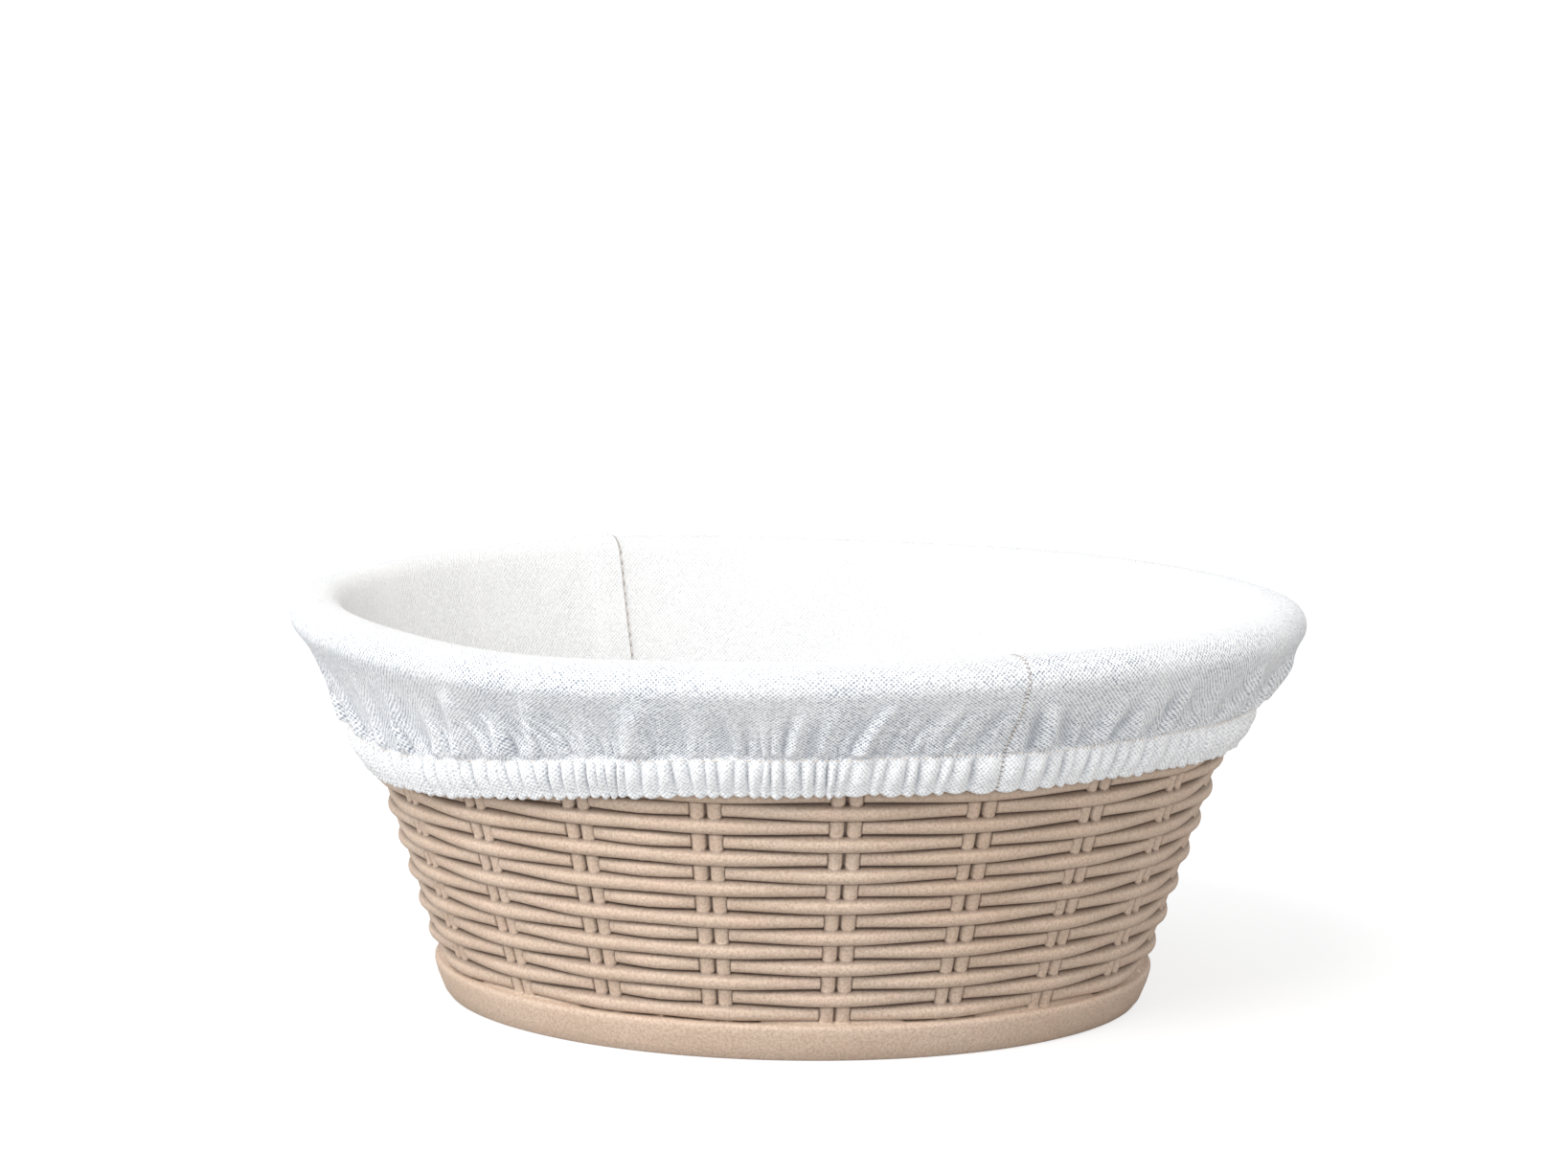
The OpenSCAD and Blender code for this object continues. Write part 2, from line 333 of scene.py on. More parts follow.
def cotton():
    """Plain-woven cotton in three tones, for the lining, the skirt and the hem, with painted shade in its
    creases and along its seams. The marks are millimetres across, along from the hem's stitching, and from
    the seam."""
    thread_pitch = 1.0
    inside_ends, skirt_begins = -34.0, -26.0
    n = Nodes("cotton_cloth")
    across, along, edge = n.marks()
    at = n.place()
    drift = n.noise(at, 300.0, 2.0)
    wander = n.math("MULTIPLY", n.math("SUBTRACT", drift, 0.5), 0.9)
    turns = 2 * math.pi / thread_pitch
    u = n.math("MULTIPLY", n.math("ADD", across, wander), turns)
    v = n.math("MULTIPLY", n.math("ADD", along, wander), turns)
    knit = n.math("MULTIPLY", n.math("SINE", u), n.math("SINE", v))
    thread = n.math("MULTIPLY_ADD", knit, 0.5, 0.5)
    slub = n.noise(at, 1400.0, 3.0, 0.8)
    height = n.math("ADD", thread, n.math("MULTIPLY", slub, 2.2))
    tone = n.span(height, 1.05, 1.8)
    # The skirt's tone is darker and bluer than the others. This is painted shade of its single cloth where
    # it hangs in shade below the bead. The hem's tone is whiter for its double cloth.
    lining = n.mix(tone, srgb(204, 204, 204), srgb(238, 238, 238))
    skirt = n.mix(tone, srgb(112, 124, 142), srgb(254, 254, 255))
    hem = n.mix(tone, srgb(196, 199, 205), srgb(255, 255, 255))
    inside = n.math("LESS_THAN", along, inside_ends)
    colour = n.mix(n.span(along, inside_ends, skirt_begins), lining, skirt)
    colour = n.mix(n.span(along, -0.5, 0.5), colour, hem)
    blotch = n.noise(at, 60.0, 3.0)
    colour = n.mix(n.span(blotch, 0.4, 0.7, 0, 0.35), colour, srgb(240, 239, 238))
    # Painted shade: grey-blue where the cloth lies further in than the gathers beside it, in the creases
    # of the hem and the skirt's folds.
    crease_shade = n.span(n.hollow(), 0.05, 0.9, 0.0, 0.5)
    colour = n.mix(crease_shade, colour, srgb(150, 156, 166))
    # Painted shade along each seam's edge, where the seam's step and gap lie in shade. It is dashed at the
    # needle holes on the outside and runs all along the seam on the inside.
    stitches = n.math("SINE", n.math("MULTIPLY", along, 2 * math.pi / SEAM_PITCH))
    needle = n.span(stitches, 0.0, 0.6, 0.1, 0.85)
    seam = n.math("MAXIMUM", n.math("MULTIPLY", inside, 0.8), needle)
    colour = n.mix(n.span(edge, 0.15, 0.6, seam, 0.0), colour, srgb(126, 119, 113))
    normal = n.bump(height, 0.00016, 0.8)
    return n.surface(
        Base_Color=colour, Roughness=0.92, Normal=normal, Specular_IOR_Level=0.15,
        Sheen_Weight=0.25, Sheen_Roughness=0.5,
    )


def sewing_thread():
    """Ecru thread, lighter on each turn of its twist."""
    n = Nodes("ecru_thread")
    at = n.place()
    twist = n.node("ShaderNodeTexWave", {"Vector": at, "Scale": 900.0, "Distortion": 2.0}, out=1)
    colour = n.mix(twist, srgb(226, 212, 202), srgb(250, 241, 234))
    return n.surface(
        Base_Color=colour, Roughness=0.7, Normal=n.bump(twist, 0.0001, 0.6), Specular_IOR_Level=0.3,
    )


def elastic_knit():
    """Knitted elastic with fine ribs across it."""
    n = Nodes("elastic_knit")
    at = n.place()
    rib = n.node("ShaderNodeTexWave", {
        "Vector": at, "Scale": 420.0, "Distortion": 1.5,
    }, out=1, bands_direction="Z")
    fuzz = n.noise(at, 1200.0, 2.0)
    colour = n.mix(rib, srgb(205, 205, 200), srgb(238, 238, 234))
    height = n.math("ADD", rib, fuzz)
    return n.surface(
        Base_Color=colour, Roughness=0.75, Normal=n.bump(height, 0.00015, 0.7), Specular_IOR_Level=0.3,
    )


PLASTIC, COTTON, ELASTIC, THREAD = plastic(), cotton(), elastic_knit(), sewing_thread()

# ---- the moulding ---------------------------------------------------------
# Each sector's columns lie at fixed offsets from its stake pair: across each stake, in the gap
# beside it, along a strand's rounded end, and then evenly to the middle between two pairs.
STAKE_FRACTIONS = np.array([-1, -0.92, -0.72, -0.27, 0.27, 0.72, 0.92, 1])
CAP_OFFSETS = np.array([0.04, 0.22, 0.5, 0.95])
FREE = 6                          # columns along a strand's free half
SIDE = len(STAKE_FRACTIONS) + 1 + len(CAP_OFFSETS) + FREE
COLUMNS = 2 * SIDE + 2            # per sector
TURN = COLUMNS * PAIRS
THIN = 4                          # a smooth row keeps one column in this many
SOME, FEW = TURN // 4, TURN // 20

weave_rng = np.random.default_rng(7)
stake_rise = weave_rng.normal(0, 0.05, (ROWS + 2, PAIRS))  # with a spare row below and above
strand_rise = weave_rng.normal(0, 0.045, (ROWS, PAIRS))
strand_drop = weave_rng.normal(0, 0.06, (ROWS, PAIRS))


def window(k, j):
    """True where both stakes of pair j show at row k. The pattern shifts by a row at each of the
    mould's parting lines."""
    first, last = PARTING_AFTER
    shift = 0 if first < j <= last else 1
    return (k + j + shift) % 2 == 0


WINDOW = np.array([[window(k, j) for j in range(PAIRS)] for k in range(ROWS)])


def stake_place(z):
    """Distance from a pair's middle to each stake's middle."""
    return STAKE_R + SLIT + 0.2 * z / 75


def column_places(z):
    """At a height: each column's offset from its own pair in millimetres, its pair and its angle,
    the width of a sector, and where a strand's end begins beside a pair."""
    radius = CONE_R + SLOPE * z
    half = radius * math.radians(SECTOR) / 2
    place = stake_place(z)
    start = place + STAKE_R + END_GAP
    cap = CAP_OFFSETS[-1]
    free = start + cap + (half - start - cap) * np.arange(1, FREE + 1) / (FREE + 1)
    side = np.concatenate([
        place + STAKE_R * STAKE_FRACTIONS, [start - END_GAP / 2], start + CAP_OFFSETS, free,
    ])
    offsets = np.concatenate([[-half], -side[::-1], [0], side])
    offset = np.tile(offsets, PAIRS)
    pair = np.repeat(np.arange(PAIRS), COLUMNS)
    angle = PAIR_0 + pair * SECTOR + np.degrees(offset / radius)
    return offset, pair, angle, 2 * half, start


def strand(k, z):
    """Row k along its length: top height, half width, drop, and how far behind the stakes it is."""
    offset, pair, _, arc, start = column_places(z)
    left = np.where(offset < 0, (pair - 1) % PAIRS, pair)
    y = np.where(offset < 0, offset + arc, offset)
    right = (left + 1) % PAIRS
    a, b = WINDOW[k, left], WINDOW[k, right]
    y0, y1 = np.where(a, start, 0.0), np.where(b, arc - start, arc)
    x = np.clip((y - y0) / (y1 - y0), 0, 1)
    wave = 0.5 + 0.5 * np.cos(math.pi * x)
    share = np.where(
        a & b, 0.55 * np.sin(math.pi * x),
        np.where(a, 1 - wave, np.where(b, wave, 1 - 0.28 * np.sin(math.pi * x) ** 2)),
    )
    rise = strand_rise[k, left] * (1 - x) + strand_rise[k, right] * x
    top = STRAND_LOW + (STRAND_HIGH - STRAND_LOW) * share + rise
    width = STRAND_THIN + (STRAND_WIDE - STRAND_THIN) * share ** 0.8
    drop = strand_drop[k, left] * (1 - smooth_step(x)) + strand_drop[k, right] * smooth_step(x)
    near = np.minimum(np.where(a, y - y0, FAR), np.where(b, y1 - y, FAR))
    return top, width, drop, smooth_step((0.02 - near) / 0.5)


def stakes(k, z):
    """Height of the stakes along a row."""
    offset, pair, *_ = column_places(z)
    tau = (np.abs(offset) - stake_place(z)) / STAKE_R
    crown = np.sqrt(np.clip(1 - tau * tau, 0, 1))
    top = STAKE_TOP + stake_rise[k + 1, pair]
    return np.where(np.abs(tau) < 1, GROOVE + 0.1 + (top - GROOVE - 0.1) * crown, -FAR)


def wall_point(z, n, angle):
    """A point at a height on the middle cone and n millimetres out from it."""
    return spin(angle, CONE_R + SLOPE * z + n / SLANT, z - n * SLOPE / SLANT)


def hollows(relief):
    """A measure of how far each point of a grid of heights lies below the points that are one to four
    steps from it, by which the plastic is painted darker as shade."""
    total = np.zeros_like(relief)
    for step in (1, 2, 3, 4):
        padded = np.pad(relief, ((step, step), (0, 0)), mode="edge")
        for near in (
            padded[2 * step:], padded[:-2 * step],
            np.roll(relief, step, 1), np.roll(relief, -step, 1),
        ):
            total += np.clip(near - relief, 0, 1)
    return total / 8


class Rings:
    """The moulding's closed rows of points: from the middle of its underside outwards, up the
    outside, over the rim, down the inside, and in to the middle of its floor."""

    def __init__(self):
        self.mesh, self.rows = Mesh(), []

    def even(self, count, r, z):
        """A row of evenly spaced points."""
        angle = np.arange(count) * 360 / count + PAIR_0 - SECTOR / 2
        self.rows.append(self.mesh.add(spin(angle, r, z)))

    def on_columns(self, r, z, thin=1):
        """A row on the weave's columns, or on one in so many of them."""
        angle = column_places(min(z, CONE_TOP))[2][::thin]
        self.rows.append(self.mesh.add(spin(angle, r, z)))

    def bend(self, r, z, round_r, angles):
        """Rows on an arc about a radius and a height, at angles up from the outward direction."""
        for degrees in angles:
            a = math.radians(degrees)
            self.on_columns(r + round_r * math.cos(a), z + round_r * math.sin(a), THIN)


def foot(rings):
    """The underside and the smooth band."""
    for r in (8, 22):
        rings.even(FEW, r, FLOOR_LOW)
    for r in (44, 68, 71.2):
        rings.on_columns(r, FLOOR_LOW, THIN)
    for r, z in ((71.8, 2.3), (72.0, 1.6), (72.0, 0.35), (72.35, 0)):
        rings.on_columns(r, z, THIN)
    band = (
        (74.4, 0), (74.85, 0.15), (75.05, 0.55), (75.7, 1.2), (76.45, 3.0), (77.05, 4.5),
        (77.5, 6.0), (77.68, 6.8), (77.66, 7.3), (77.45, 7.68), (77.05, 7.9), (76.45, 7.98),
    )
    for r, z in band:
        rings.on_columns(r, z)


def parting_lines():
    """For each column, how far the mould's parting lines stand out."""
    offset, pair, _, arc, _ = column_places(0)
    middle = np.abs(offset + arc / 2) < 1e-6
    ridge = np.zeros(TURN)
    for p in PARTING_AFTER:
        ridge[middle & (pair == (p + 1) % PAIRS)] = PARTING_H
    return ridge


def weave(rings):
    """The woven rows: eleven points round each strand, and one in the groove above it."""
    grid, heights = [], []

    def row(z, n, columns_at):
        grid.append(wall_point(z, n, column_places(columns_at)[2]))
        heights.append(n)

    parting = parting_lines()
    step = PITCH * SLANT
    groove_z = ROW_0 + (-step / 2 + 0.1) / SLANT
    row(groove_z, soft_max(stakes(0, groove_z), GROOVE), groove_z)
    for k in range(ROWS):
        zk = ROW_0 + k * PITCH
        top, width, drop, behind = strand(k, zk)
        _, width_up, drop_up, _ = strand(min(k + 1, ROWS - 1), zk + PITCH)
        for phi in np.radians(np.arange(-90, 91, 18)):
            v = drop + width * math.sin(phi)
            body = STRAND_EDGE + (top - STRAND_EDGE) * math.cos(phi) - 1.8 * behind
            n = soft_max(soft_max(body, stakes(k, zk)), GROOVE + 0.15) + parting * (body > GROOVE)
            row(zk + v / SLANT, n, zk)
        v = ((drop + width) + (step - width_up + drop_up)) / 2
        high = zk + PITCH / 2
        row(zk + v / SLANT, soft_max(stakes(k, high), GROOVE), high)
    row(WEAVE_TOP + 0.4, np.full(TURN, 0.3), CONE_TOP)
    for points, hollow in zip(grid, hollows(np.array(heights))):
        rings.rows.append(rings.mesh.add(points, hollow=hollow))


def rim(rings):
    """The collar above the weave, the bead and the lip."""
    collar_z = WEAVE_TOP + 1.2
    rings.on_columns(CONE_R + SLOPE * collar_z + 0.9, collar_z, THIN)
    rings.bend(BEAD_R, BEAD_Z, BEAD_ROUND, range(-130, 91, 20))
    rings.bend(LIP_R, LIP_Z, LIP_ROUND, (90, 110, 130, 148, LIP_TURN))


def inner_face(rings):
    """Shallow strands, which swell where the outside shows the stakes in front, and the floor
    with its low rings."""
    for k in range(ROWS - 1, -1, -1):
        zk = ROW_0 + k * PITCH
        offset, pair, angle, arc, _ = column_places(zk)
        here = np.where(WINDOW[k, pair], 1.0, -1.0)
        swing = here * np.cos(np.clip(np.abs(offset) / (arc / 2), 0, 1) * math.pi / 2)
        for share in (0.9, 0.45, 0.0, -0.45, -0.9):
            n = -1.38 - 0.2 * (1 - share ** 2) * (1 + 0.6 * swing)
            points = wall_point(zk + share * PITCH / 2, n, angle)
            rings.rows.append(rings.mesh.add(points[::2]))
    for z, fillet in ((7.2, 0), (5.8, 0.15)):
        rings.on_columns(INSIDE_R + SLOPE * z - fillet, z, 2)
    rings.on_columns(INSIDE_R + SLOPE * 5.8 - 0.6, 5.15, THIN)
    rings.on_columns(FLOOR_R, FLOOR_TOP, THIN)
    for k in range(RINGS, 0, -1):
        for out, up in ((1.5, 0), (0.75, 0), (0.55, 0.3), (0, RING_H), (-0.55, 0.3), (-0.75, 0)):
            rings.even(SOME if k > 3 else FEW, k * RING_PITCH + out, FLOOR_TOP + up)


def moulding():
    """The whole basket as one closed shell."""
    rings = Rings()
    mesh = rings.mesh
    low = mesh.add([[0, 0, FLOOR_LOW * MM]])[0]
    foot(rings)
    weave(rings)
    rim(rings)
    inner_face(rings)
    high = mesh.add([[0, 0, FLOOR_TOP * MM]])[0]
    mesh.strip(rings.rows, closed=True)
    mesh.fan(rings.rows[0], low, flip=True)
    mesh.fan(rings.rows[-1], high)
    return mesh.build("basket_moulding", PLASTIC, "basket", "plastic", ["basket_shell"])


moulding()

# ---- the liner ------------------------------------------------------------
SEAM = 25.0                       # angle of the front seam; the other is opposite
PUFFS = 92                        # gathers in each half of the hem
PER_PUFF = 8                      # columns in each of them
COARSE = 4                        # a coarse row keeps one column in this many
FINE = PUFFS * PER_PUFF
PUFF_AT = np.array([0, 0.07, 0.19, 0.34, 0.5, 0.66, 0.81, 0.93])
RIM_R = 109.4                     # the liner's widest radius, where its cloth lies flat
ALLOWANCE = 9.0                   # width of the seam's allowance under the cloth
CASING, HEM_OUT = 7.6, 1.75       # the hem's height, and its distance out from the weave
HEM_ROUND, HEM_WAVE = 0.6, 0.12   # the fold under the hem, and how far its edge wanders
INNER_FACE = INSIDE_R - OFF * SLANT
LIP_REACH, BEAD_REACH = LIP_ROUND + OFF, BEAD_ROUND + OFF
BOTTOM_R, BOTTOM_Z = 71.8, 6.6    # the bottom cloth's radius and the height of its face
FOLD_R = 100                      # radius at which the folds' sizes are true
SKIRT_SHARES = (
    0.05, 0.12, 0.2, 0.28, 0.36, 0.44, 0.52, 0.59, 0.66, 0.72, 0.78, 0.83, 0.875, 0.91, 0.94, 0.965,
    0.985,
)
CORNER_ROWS, RIM_ROW = 2, 29      # a panel's rows: first of the wall, and top of the rim
HEM_ROW = 39 + len(SKIRT_SHARES)  # the hem's stitching
HEM_END = HEM_ROW + 13            # the hem's lower edge

hem_low = around([
    (-90, 50.2), (-60, 50.4), (-50, 51.5), (-37, 54.2), (-23, 56.8), (-11, 58.2), (0, 58.7),
    (18, 59.1), (33, 58.9), (45, 59.4), (56, 59.2), (68, 58.5), (90, 57.8), (120, 56.5),
    (150, 54.8), (180, 53), (210, 51.5), (240, 50.5),
], 4)
# Where the skirt leaves the bead, in degrees down from its widest, and how far the hem stands off.
leave = around([(-120, 40), (-60, 40), (-20, 36), (20, 33), (90, 33), (180, 36)], 10)
stand_off = around([(-120, 0.6), (-60, 0.6), (-20, 0.5), (20, 0.3), (90, 0.2), (180, 0.5)], 10)
hem_wave = waves(5, 14, 20, 70)
low_wave = waves(9, 8, 3, 16)
high_wave = waves(10, 8, 3, 16)


def outer_r(z):
    return CONE_R + SLOPE * z + WEAVE_OUT * SLANT


def fold_field(seed, spacing, size, width, reach, lean):
    """Folds that rise from the hem's stitching. Gives the height of the cloth at an angle and a
    distance up from the stitches."""
    rng = np.random.default_rng(seed)
    n = int(2 * math.pi * FOLD_R / spacing)
    at = (np.arange(n) + rng.uniform(-0.38, 0.38, n)) * 360 / n
    tall = rng.uniform(*size, n)
    wide = rng.uniform(*width, n)
    high = rng.uniform(*reach, n)
    # The folds on the left of the front seam lean towards it.
    slant = rng.normal(*lean, n) + 0.45 * np.exp(-(((at - 14) / 9) ** 2))

    def value(angle, up):
        total = np.zeros(np.broadcast(angle, up).shape)
        for a, t, w, h, s in zip(at, tall, wide, high, slant):
            x = ((angle - a + 180) % 360 - 180) * math.radians(1) * FOLD_R - s * up
            q = np.clip(up / h, 0, 1)
            total += t * np.exp(-((x / w) ** 2)) * (1 - q) ** 2 * (1 + 2 * q)
        return total

    return value


long_folds = fold_field(22, 7.2, (0.7, 2.7), (1.8, 3.0), (11.0, 30.0), (0.0, 0.2))


class Gathers:
    """The gathers of one panel's hem. For each column: its place in the half turn, its bulge, its
    crease's depth, its lean, how full it is, and the height and reach of the fold above it."""

    def __init__(self, seed):
        rng = np.random.default_rng(seed)
        widths = np.exp(rng.normal(0, 0.3, PUFFS))
        widths[:2] *= (1.9, 1.5)
        widths[-2:] *= (1.3, 1.7)
        edges = np.concatenate([[0], np.cumsum(widths) / widths.sum()])
        depth = np.concatenate([[0.2], rng.uniform(0.3, 0.85, PUFFS - 1), [0.2]])
        lean = np.concatenate([[0], rng.normal(0, 0.35, PUFFS - 1), [0]])
        i = np.arange(FINE + 1)
        p, u = np.minimum(i // PER_PUFF, PUFFS - 1), PUFF_AT[i % PER_PUFF]
        u = np.where(i == FINE, 1.0, u)
        self.place = edges[p] * (1 - u) + edges[p + 1] * u
        self.bulge = np.sin(math.pi * u) ** 1.15
        self.crease = depth[p] * (1 - u) + depth[p + 1] * u
        self.lean = lean[p] * (1 - u) + lean[p + 1] * u
        self.full = rng.uniform(0.6, 1.25, PUFFS)[p]
        self.tall = rng.uniform(0.2, 1.7, PUFFS)[p]
        self.reach = rng.uniform(2.5, 9, PUFFS)[p]


class Panel:
    """One side cloth's outer face as rows of points, and with each row its marks, how hollow it
    is, and how far the seam's allowance raises it. lift is that rise."""

    def __init__(self, start, seed, lift):
        self.start, self.lift, self.gathers = start, lift, Gathers(seed)
        self.points, self.raised, self.marks, self.hollow = [], [], [], []
        self.along, self.last = 0.0, None

    def row(self, weight, r, z, coarse, lean=0.0):
        """Adds a row. r and z are numbers, or functions of the angle. weight draws the columns
        from evenly spaced, at 0, to where the gathers are, at 1."""
        share = np.linspace(0, 1, FINE + 1) * (1 - weight) + self.gathers.place * weight
        angle = self.start + 180 * share + lean
        r, z = (np.broadcast_to(v(angle) if callable(v) else v, angle.shape) for v in (r, z))
        middle = (np.mean(r), np.mean(z))
        if self.last is not None:
            self.along += math.hypot(middle[0] - self.last[0], middle[1] - self.last[1])
        self.last = middle
        from_start = 180 * share * math.radians(1) * RIM_R
        to_end = (1 - share) * math.pi * RIM_R
        marks = (from_start, np.full(len(angle), self.along), np.minimum(from_start, to_end))
        # A point is hollow where it lies further in than the gathers beside it do on average. The cloth is
        # painted darker there, as shade.
        smear = np.full(2 * PER_PUFF + 1, 1 / (2 * PER_PUFF + 1))
        level = np.convolve(np.pad(r, PER_PUFF, mode="edge"), smear, "valid")
        keep = slice(None, None, COARSE if coarse else 1)
        self.points.append(spin(angle, r, z)[keep])
        self.raised.append((self.lift * smooth_step((ALLOWANCE - from_start) / 2.0))[keep])
        self.marks.append(np.stack(marks, -1)[keep])
        self.hollow.append((np.clip(level - r, 0, 1) * (not coarse))[keep])


def wall_rows(panel):
    """Up the inside from the bottom seam, in soft waves."""
    panel.row(0, 71.85, 6.5, True)
    panel.row(0, 72.35, 6.7, True)
    for z in np.concatenate([[7.5], np.linspace(9.5, 79, 20)]):
        swell, high = 0.3 * math.sin(math.pi * min(z / 80, 1)), z / 80

        def radius(a):
            return INNER_FACE + SLOPE * z - swell * (low_wave(a) * (1 - high) + high_wave(a) * high)

        panel.row(0, radius, z, True)


def rim_rows(panel):
    """Over the lip and the bead, to where the skirt leaves the bead."""
    for degrees in (LIP_TURN, 147, 132, 118, 104, 90):
        a = math.radians(degrees)
        panel.row(0, LIP_R + LIP_REACH * math.cos(a), LIP_Z + LIP_REACH * math.sin(a), True)
    for degrees in (90, 75, 60, 45, 30, 15):
        a = math.radians(degrees)
        panel.row(0, BEAD_R + BEAD_REACH * math.cos(a), BEAD_Z + BEAD_REACH * math.sin(a), True)
    for share in (0, 0.33, 0.67, 1):
        panel.row(
            0,
            lambda a: BEAD_R + BEAD_REACH * np.cos(np.radians(leave(a) * share)),
            lambda a: BEAD_Z - BEAD_REACH * np.sin(np.radians(leave(a) * share)),
            share == 0,
        )


def hermite(s, start, way_out, end, way_in):
    """A curve from start to end that leaves and arrives along the two ways given."""
    return (
        (2 * s**3 - 3 * s**2 + 1) * start + (s**3 - 2 * s**2 + s) * way_out
        + (-2 * s**3 + 3 * s**2) * end + (s**3 - s**2) * way_in
    )


def skirt_point(gathers, angle, share):
    """Radius and height of the skirt, at a share of its way from the bead to the stitches."""
    turn = np.radians(leave(angle))
    r0, z0 = BEAD_R + BEAD_REACH * np.cos(turn), BEAD_Z - BEAD_REACH * np.sin(turn)
    z1 = hem_low(angle) + CASING
    r1 = outer_r(z1) + HEM_OUT + 0.1 + stand_off(angle)
    away = np.hypot(r0 - r1, z0 - z1)
    bend = np.radians(np.interp(leave(angle), [33, 40], [29, 15]))
    r = hermite(share, r0, -np.sin(turn) * away, r1, -np.sin(bend) * away)
    z = hermite(share, z0, -np.cos(turn) * away, z1, -np.cos(bend) * away)
    up = np.maximum(z - z1, 0)
    pinch = smooth_step(up / 1.5)
    tongues = gathers.tall * gathers.bulge * np.exp(-((up / gathers.reach) ** 2))
    folds = tongues + long_folds(angle, up) - 1.5 * np.exp(-up / 8)
    ease = smooth_step((z0 - z) / 6)
    return r + folds * pinch * ease - 0.35 * (1 - pinch), z


def skirt_rows(panel):
    """On a curve from the bead down to the hem's stitching."""
    for share in SKIRT_SHARES:
        panel.row(
            smooth_step((share - 0.1) / 0.75),
            lambda a: skirt_point(panel.gathers, a, share)[0],
            lambda a: skirt_point(panel.gathers, a, share)[1],
            False,
        )


def hem_rows(panel):
    """The gathered face of the hem, the fold under it, and the cloth turned up behind the
    elastic."""
    bulge, crease = panel.gathers.bulge, panel.gathers.crease
    full, lean = panel.gathers.full, panel.gathers.lean
    scallop = 0.65 * bulge * full
    for s in (0, 0.06, 0.14, 0.25, 0.38, 0.5, 0.62, 0.74, 0.85, 0.93):
        swell = 1.35 * math.sin(math.pi * min(s * 1.08 + 0.02, 1)) ** 0.75
        pull = 0.3 + 0.7 * smooth_step(s / 0.2)

        def face_z(a):
            return hem_low(a) + CASING * (1 - s) + HEM_ROUND * s

        def face_r(a):
            base = outer_r(face_z(a)) + HEM_OUT + stand_off(a) * (1 - 0.6 * s)
            return base + swell * (0.2 + 0.8 * full * bulge) - crease * (1 - bulge) * pull

        panel.row(
            1, face_r, lambda a: face_z(a) - scallop * s * s + HEM_WAVE * hem_wave(a),
            False, lean * (s - 0.5) * 0.9,
        )
    for turn in (25, 55, 90, 125, 155):
        t = math.radians(turn)

        def fold_r(a):
            out = HEM_OUT + stand_off(a) * 0.35 + 0.25 * bulge * full - crease * (1 - bulge) * 0.8
            middle, half = (out + 0.25) / 2, (out - 0.25) / 2
            return outer_r(hem_low(a)) + middle + half * math.cos(t)

        def fold_z(a):
            return hem_low(a) + 0.75 - scallop - 0.85 * math.sin(t) + HEM_WAVE * hem_wave(a)

        panel.row(1, fold_r, fold_z, False, lean * 0.45)
    for s in (0.12, 0.4, 0.7, 0.95):

        def back_z(a):
            return hem_low(a) + CASING * s

        panel.row(
            1, lambda a: outer_r(back_z(a)) + 0.3 + (0.25 + stand_off(a)) * s * s, back_z, True)


def row_normals(rows):
    """The outward normal at each point of a face's rows, some of which are coarse."""
    full = max(len(r) for r in rows)
    every = [(full - 1) // (len(r) - 1) for r in rows]

    def spread(row, step):
        places = np.arange(len(row)) * step
        return np.stack([np.interp(np.arange(full), places, row[:, i]) for i in range(3)], 1)

    grid = np.stack([spread(r, step) for r, step in zip(rows, every)])
    normal = np.cross(np.gradient(grid, axis=0), np.gradient(grid, axis=1))
    normal /= np.maximum(np.linalg.norm(normal, axis=-1, keepdims=True), 1e-12)
    return [n[::step] for n, step in zip(normal, every)]


def side_panel(name, start, seed, lift, nodes):
    """Half of the liner's side in one cloth: up the inside, over the rim, down the skirt, and
    turned up behind the hem. Gives the object, and its outer face as rows of points and normals."""
    panel = Panel(start, seed, lift)
    wall_rows(panel)
    rim_rows(panel)
    skirt_rows(panel)
    hem_rows(panel)
    faces = [
        (points + normal * up[:, None] * MM, normal)
        for points, up, normal in zip(panel.points, panel.raised, row_normals(panel.points))
    ]
    to_hem = panel.marks[HEM_ROW][0, 1]
    marks = [m - (0, to_hem, 0) for m in panel.marks]

    # Both faces of the cloth, and its four edges.
    mesh = Mesh()
    front = [mesh.add(p, m, h) for (p, _), m, h in zip(faces, marks, panel.hollow)]
    back = [mesh.add(p - n * CLOTH * MM, m) for (p, n), m in zip(faces, marks)]

    def end(rows, column):
        return np.array([row[column] for row in rows])

    mesh.strip(front, flip=True)
    mesh.strip(back)
    mesh.strip([back[0], front[0]])
    mesh.strip([front[-1], back[-1]])
    mesh.strip([end(front, 0), end(back, 0)], flip=True)
    mesh.strip([end(back, -1), end(front, -1)], flip=True)
    return mesh.build(name, COTTON, "liner", "cloth", nodes, crisp=70), faces


right_panel, right_faces = side_panel(
    "liner_side_right", SEAM, 31, 0.2, ["side_panel_right", "skirt_right", "hem_casing_right"])
left_panel, left_faces = side_panel(
    "liner_side_left", SEAM + 180, 32, 0.6, ["side_panel_left", "skirt_left", "hem_casing_left"])


